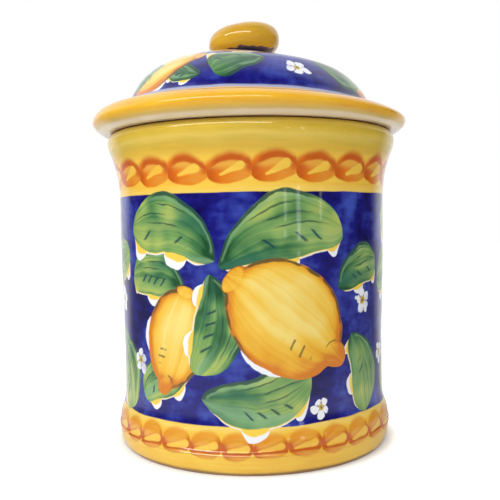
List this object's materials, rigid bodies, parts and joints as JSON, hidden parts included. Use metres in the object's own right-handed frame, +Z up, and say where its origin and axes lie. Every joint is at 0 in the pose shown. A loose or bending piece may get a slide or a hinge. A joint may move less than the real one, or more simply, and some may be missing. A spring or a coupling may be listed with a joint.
{
  "type": "kitchen canister",
  "caption": "Round glazed earthenware kitchen canister with a rolled foot, flared rim and a domed, flanged lift-off lid with a hand-pressed knob.",
  "frame": {"origin": "middle of the ring that the jar stands on, in the plane that it stands on", "axes": "+Z up along the jar's axis, towards the knob; +X to the right and +Y away for someone who faces the jar's front"},
  "size_m": [0.1748, 0.1748, 0.231],
  "materials": {
    "painted_jar_glaze": "gloss",
    "painted_lid_glaze": "gloss",
    "white_tin_glaze": "gloss",
    "gold_knob_glaze": "gloss"
  },
  "bodies": {
    "jar": {"jar_body": "painted_jar_glaze"},
    "lid": {"lid_dome": "painted_lid_glaze", "lid_collar": "white_tin_glaze", "lid_knob": "gold_knob_glaze"}
  },
  "joints": [
    {"name": "lid_lift", "type": "slide", "parent": "jar", "child": "lid", "axis": [0, 0, 1], "range_m": [0, 0.1]}
  ]
}
